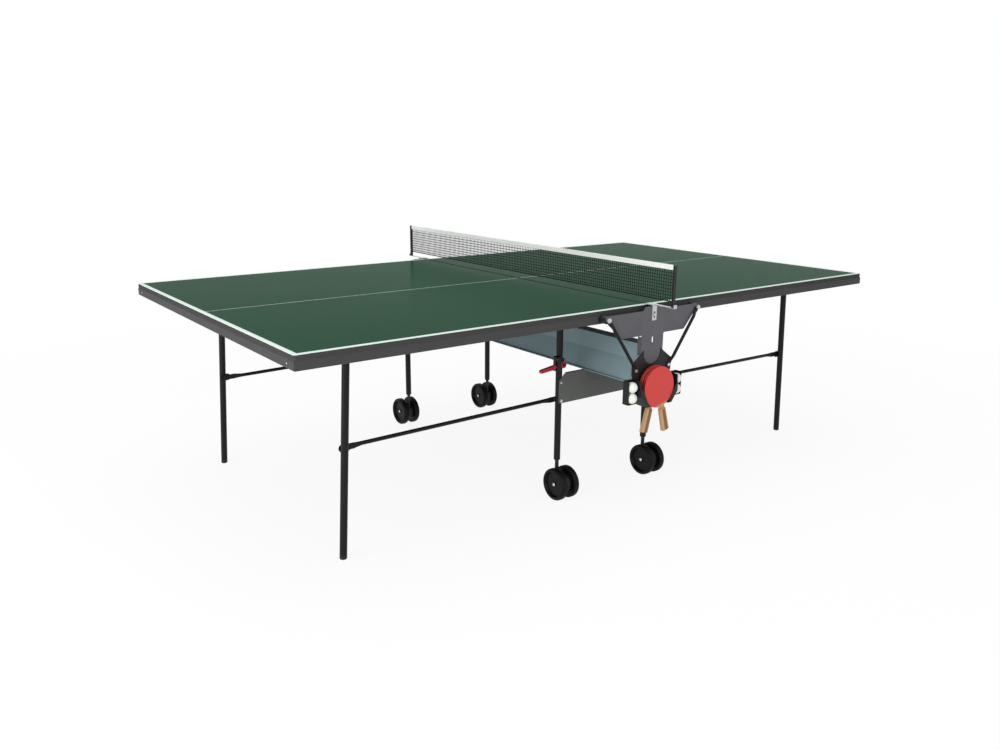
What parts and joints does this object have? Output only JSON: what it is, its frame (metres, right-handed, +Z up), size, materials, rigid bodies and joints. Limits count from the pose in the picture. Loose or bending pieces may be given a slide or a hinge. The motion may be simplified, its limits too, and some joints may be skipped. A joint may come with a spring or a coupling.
{
  "type": "ping pong table",
  "caption": "Folding rollaway ping pong table: two hinged half boards on tube legs, a castor undercarriage with folded sheet posts, a net, lock levers and a racket holder.",
  "frame": {"origin": "on the floor, midway along the length and across the width", "axes": "+X along the table's length, +Y across it towards the side without the racket holder, +Z up"},
  "size_m": [2.74, 1.79, 0.915],
  "materials": {
    "board_green": "satin paint",
    "rail_grey": "satin",
    "tube_black": "satin",
    "post_grey": "satin",
    "beam_grey": "satin",
    "panel_grey": "satin",
    "steel": "zinc plated",
    "plastic_black": "moulded",
    "wheel_grey": "moulded",
    "plastic_red": "moulded",
    "net_cord": "knitted",
    "net_tape": "woven",
    "racket_wood": "varnished",
    "racket_rubber": "matt",
    "ball_white": "matt"
  },
  "bodies": {
    "undercarriage": {"t_post_near": "post_grey", "t_post_far": "post_grey", "brace_near_left": "tube_black", "brace_near_right": "tube_black", "brace_far_left": "tube_black", "brace_far_right": "tube_black", "cross_beam": "beam_grey", "side_panel_near": "panel_grey", "side_panel_far": "panel_grey", "wheel_leg_near_left": "tube_black", "wheel_leg_near_right": "tube_black", "wheel_leg_far_left": "tube_black", "wheel_leg_far_right": "tube_black", "net_clamp_near": "steel", "net_clamp_far": "steel", "net_posts": "plastic_black", "net_mesh": "net_cord", "net_tape": "net_tape", "racket_holder": "plastic_black", "frame_bolts": "steel", "pivot_sleeves": "plastic_black", "lock_housings": "plastic_black"},
    "half_left": {"board_left": "board_green", "side_rail_near_left": "rail_grey", "side_rail_far_left": "rail_grey", "end_rail_left": "rail_grey", "leg_clips_left": "tube_black"},
    "legs_left": {"leg_frame_left": "tube_black", "foot_caps_left": "plastic_black", "link_brackets_left": "tube_black"},
    "links_left": {"link_bar_near_left": "tube_black", "link_bar_far_left": "tube_black"},
    "half_right": {"board_right": "board_green", "side_rail_near_right": "rail_grey", "side_rail_far_right": "rail_grey", "end_rail_right": "rail_grey", "leg_clips_right": "tube_black"},
    "legs_right": {"leg_frame_right": "tube_black", "foot_caps_right": "plastic_black", "link_brackets_right": "tube_black"},
    "links_right": {"link_bar_near_right": "tube_black", "link_bar_far_right": "tube_black"},
    "castor_near_left": {"castor_near_left": "plastic_black"},
    "wheel_near_left": {"wheel_set_near_left": "wheel_grey"},
    "castor_near_right": {"castor_near_right": "plastic_black"},
    "wheel_near_right": {"wheel_set_near_right": "wheel_grey"},
    "castor_far_left": {"castor_far_left": "plastic_black"},
    "wheel_far_left": {"wheel_set_far_left": "wheel_grey"},
    "castor_far_right": {"castor_far_right": "plastic_black"},
    "wheel_far_right": {"wheel_set_far_right": "wheel_grey"},
    "lever_left": {"lock_lever_left": "plastic_red"},
    "lever_right": {"lock_lever_right": "plastic_red"},
    "racket_back": {"racket_back_wood": "racket_wood", "racket_back_rubber": "racket_rubber"},
    "racket_front": {"racket_front_wood": "racket_wood", "racket_front_rubber": "racket_rubber"},
    "ball_1": {"ball_1": "ball_white"},
    "ball_2": {"ball_2": "ball_white"},
    "ball_3": {"ball_3": "ball_white"},
    "ball_4": {"ball_4": "ball_white"}
  },
  "joints": [
    {"name": "fold_left", "type": "hinge", "parent": "undercarriage", "child": "half_left", "pos_m": [-0.228, 0, 0.731], "axis": [0, 1, 0], "range_deg": [0, 90]},
    {"name": "fold_right", "type": "hinge", "parent": "undercarriage", "child": "half_right", "pos_m": [0.228, 0, 0.731], "axis": [0, -1, 0], "range_deg": [0, 90]},
    {"name": "legs_left_hinge", "type": "hinge", "parent": "half_left", "child": "legs_left", "pos_m": [-1.105, 0, 0.72], "axis": [0, 1, 0], "range_deg": [-90, 0]},
    {"name": "links_left_hinge", "type": "hinge", "parent": "undercarriage", "child": "links_left", "pos_m": [-0.233, 0, 0.386], "axis": [0, 1, 0], "range_deg": [0, 90]},
    {"name": "legs_right_hinge", "type": "hinge", "parent": "half_right", "child": "legs_right", "pos_m": [1.105, 0, 0.72], "axis": [0, -1, 0], "range_deg": [-90, 0]},
    {"name": "links_right_hinge", "type": "hinge", "parent": "undercarriage", "child": "links_right", "pos_m": [0.233, 0, 0.386], "axis": [0, -1, 0], "range_deg": [0, 90]},
    {"name": "castor_near_left_swivel", "type": "hinge", "parent": "undercarriage", "child": "castor_near_left", "pos_m": [-0.233, -0.55, 0.15], "axis": [0, 0, 1], "continuous": true},
    {"name": "wheel_near_left_roll", "type": "hinge", "parent": "castor_near_left", "child": "wheel_near_left", "pos_m": [-0.233, -0.578, 0.0625], "axis": [1, 0, 0], "continuous": true},
    {"name": "castor_near_right_swivel", "type": "hinge", "parent": "undercarriage", "child": "castor_near_right", "pos_m": [0.233, -0.55, 0.15], "axis": [0, 0, 1], "continuous": true},
    {"name": "wheel_near_right_roll", "type": "hinge", "parent": "castor_near_right", "child": "wheel_near_right", "pos_m": [0.233, -0.578, 0.0625], "axis": [1, 0, 0], "continuous": true},
    {"name": "castor_far_left_swivel", "type": "hinge", "parent": "undercarriage", "child": "castor_far_left", "pos_m": [-0.233, 0.55, 0.15], "axis": [0, 0, 1], "continuous": true},
    {"name": "wheel_far_left_roll", "type": "hinge", "parent": "castor_far_left", "child": "wheel_far_left", "pos_m": [-0.233, 0.578, 0.0625], "axis": [1, 0, 0], "continuous": true},
    {"name": "castor_far_right_swivel", "type": "hinge", "parent": "undercarriage", "child": "castor_far_right", "pos_m": [0.233, 0.55, 0.15], "axis": [0, 0, 1], "continuous": true},
    {"name": "wheel_far_right_roll", "type": "hinge", "parent": "castor_far_right", "child": "wheel_far_right", "pos_m": [0.233, 0.578, 0.0625], "axis": [1, 0, 0], "continuous": true},
    {"name": "lever_left_tilt", "type": "hinge", "parent": "undercarriage", "child": "lever_left", "pos_m": [-0.233, -0.571, 0.528], "axis": [0, 1, 0], "range_deg": [0, 30]},
    {"name": "lever_right_tilt", "type": "hinge", "parent": "undercarriage", "child": "lever_right", "pos_m": [0.233, 0.571, 0.528], "axis": [0, -1, 0], "range_deg": [0, 30]},
    {"name": "racket_back_lift", "type": "slide", "parent": "undercarriage", "child": "racket_back", "axis": [0.2588, 0, 0.9659], "range_m": [0, 0.16]},
    {"name": "racket_front_lift", "type": "slide", "parent": "undercarriage", "child": "racket_front", "axis": [-0.2588, 0, 0.9659], "range_m": [0, 0.16]},
    {"name": "ball_1_pull", "type": "slide", "parent": "undercarriage", "child": "ball_1", "axis": [0, -1, 0], "range_m": [0, 0.05]},
    {"name": "ball_2_pull", "type": "slide", "parent": "undercarriage", "child": "ball_2", "axis": [0, -1, 0], "range_m": [0, 0.05]},
    {"name": "ball_3_pull", "type": "slide", "parent": "undercarriage", "child": "ball_3", "axis": [0, -1, 0], "range_m": [0, 0.05]},
    {"name": "ball_4_pull", "type": "slide", "parent": "undercarriage", "child": "ball_4", "axis": [0, -1, 0], "range_m": [0, 0.05]}
  ],
  "couplings": [
    {"joint": "legs_left_hinge", "follows": "fold_left", "ratio": -1},
    {"joint": "links_left_hinge", "follows": "fold_left", "ratio": 1},
    {"joint": "legs_right_hinge", "follows": "fold_right", "ratio": -1},
    {"joint": "links_right_hinge", "follows": "fold_right", "ratio": 1}
  ]
}
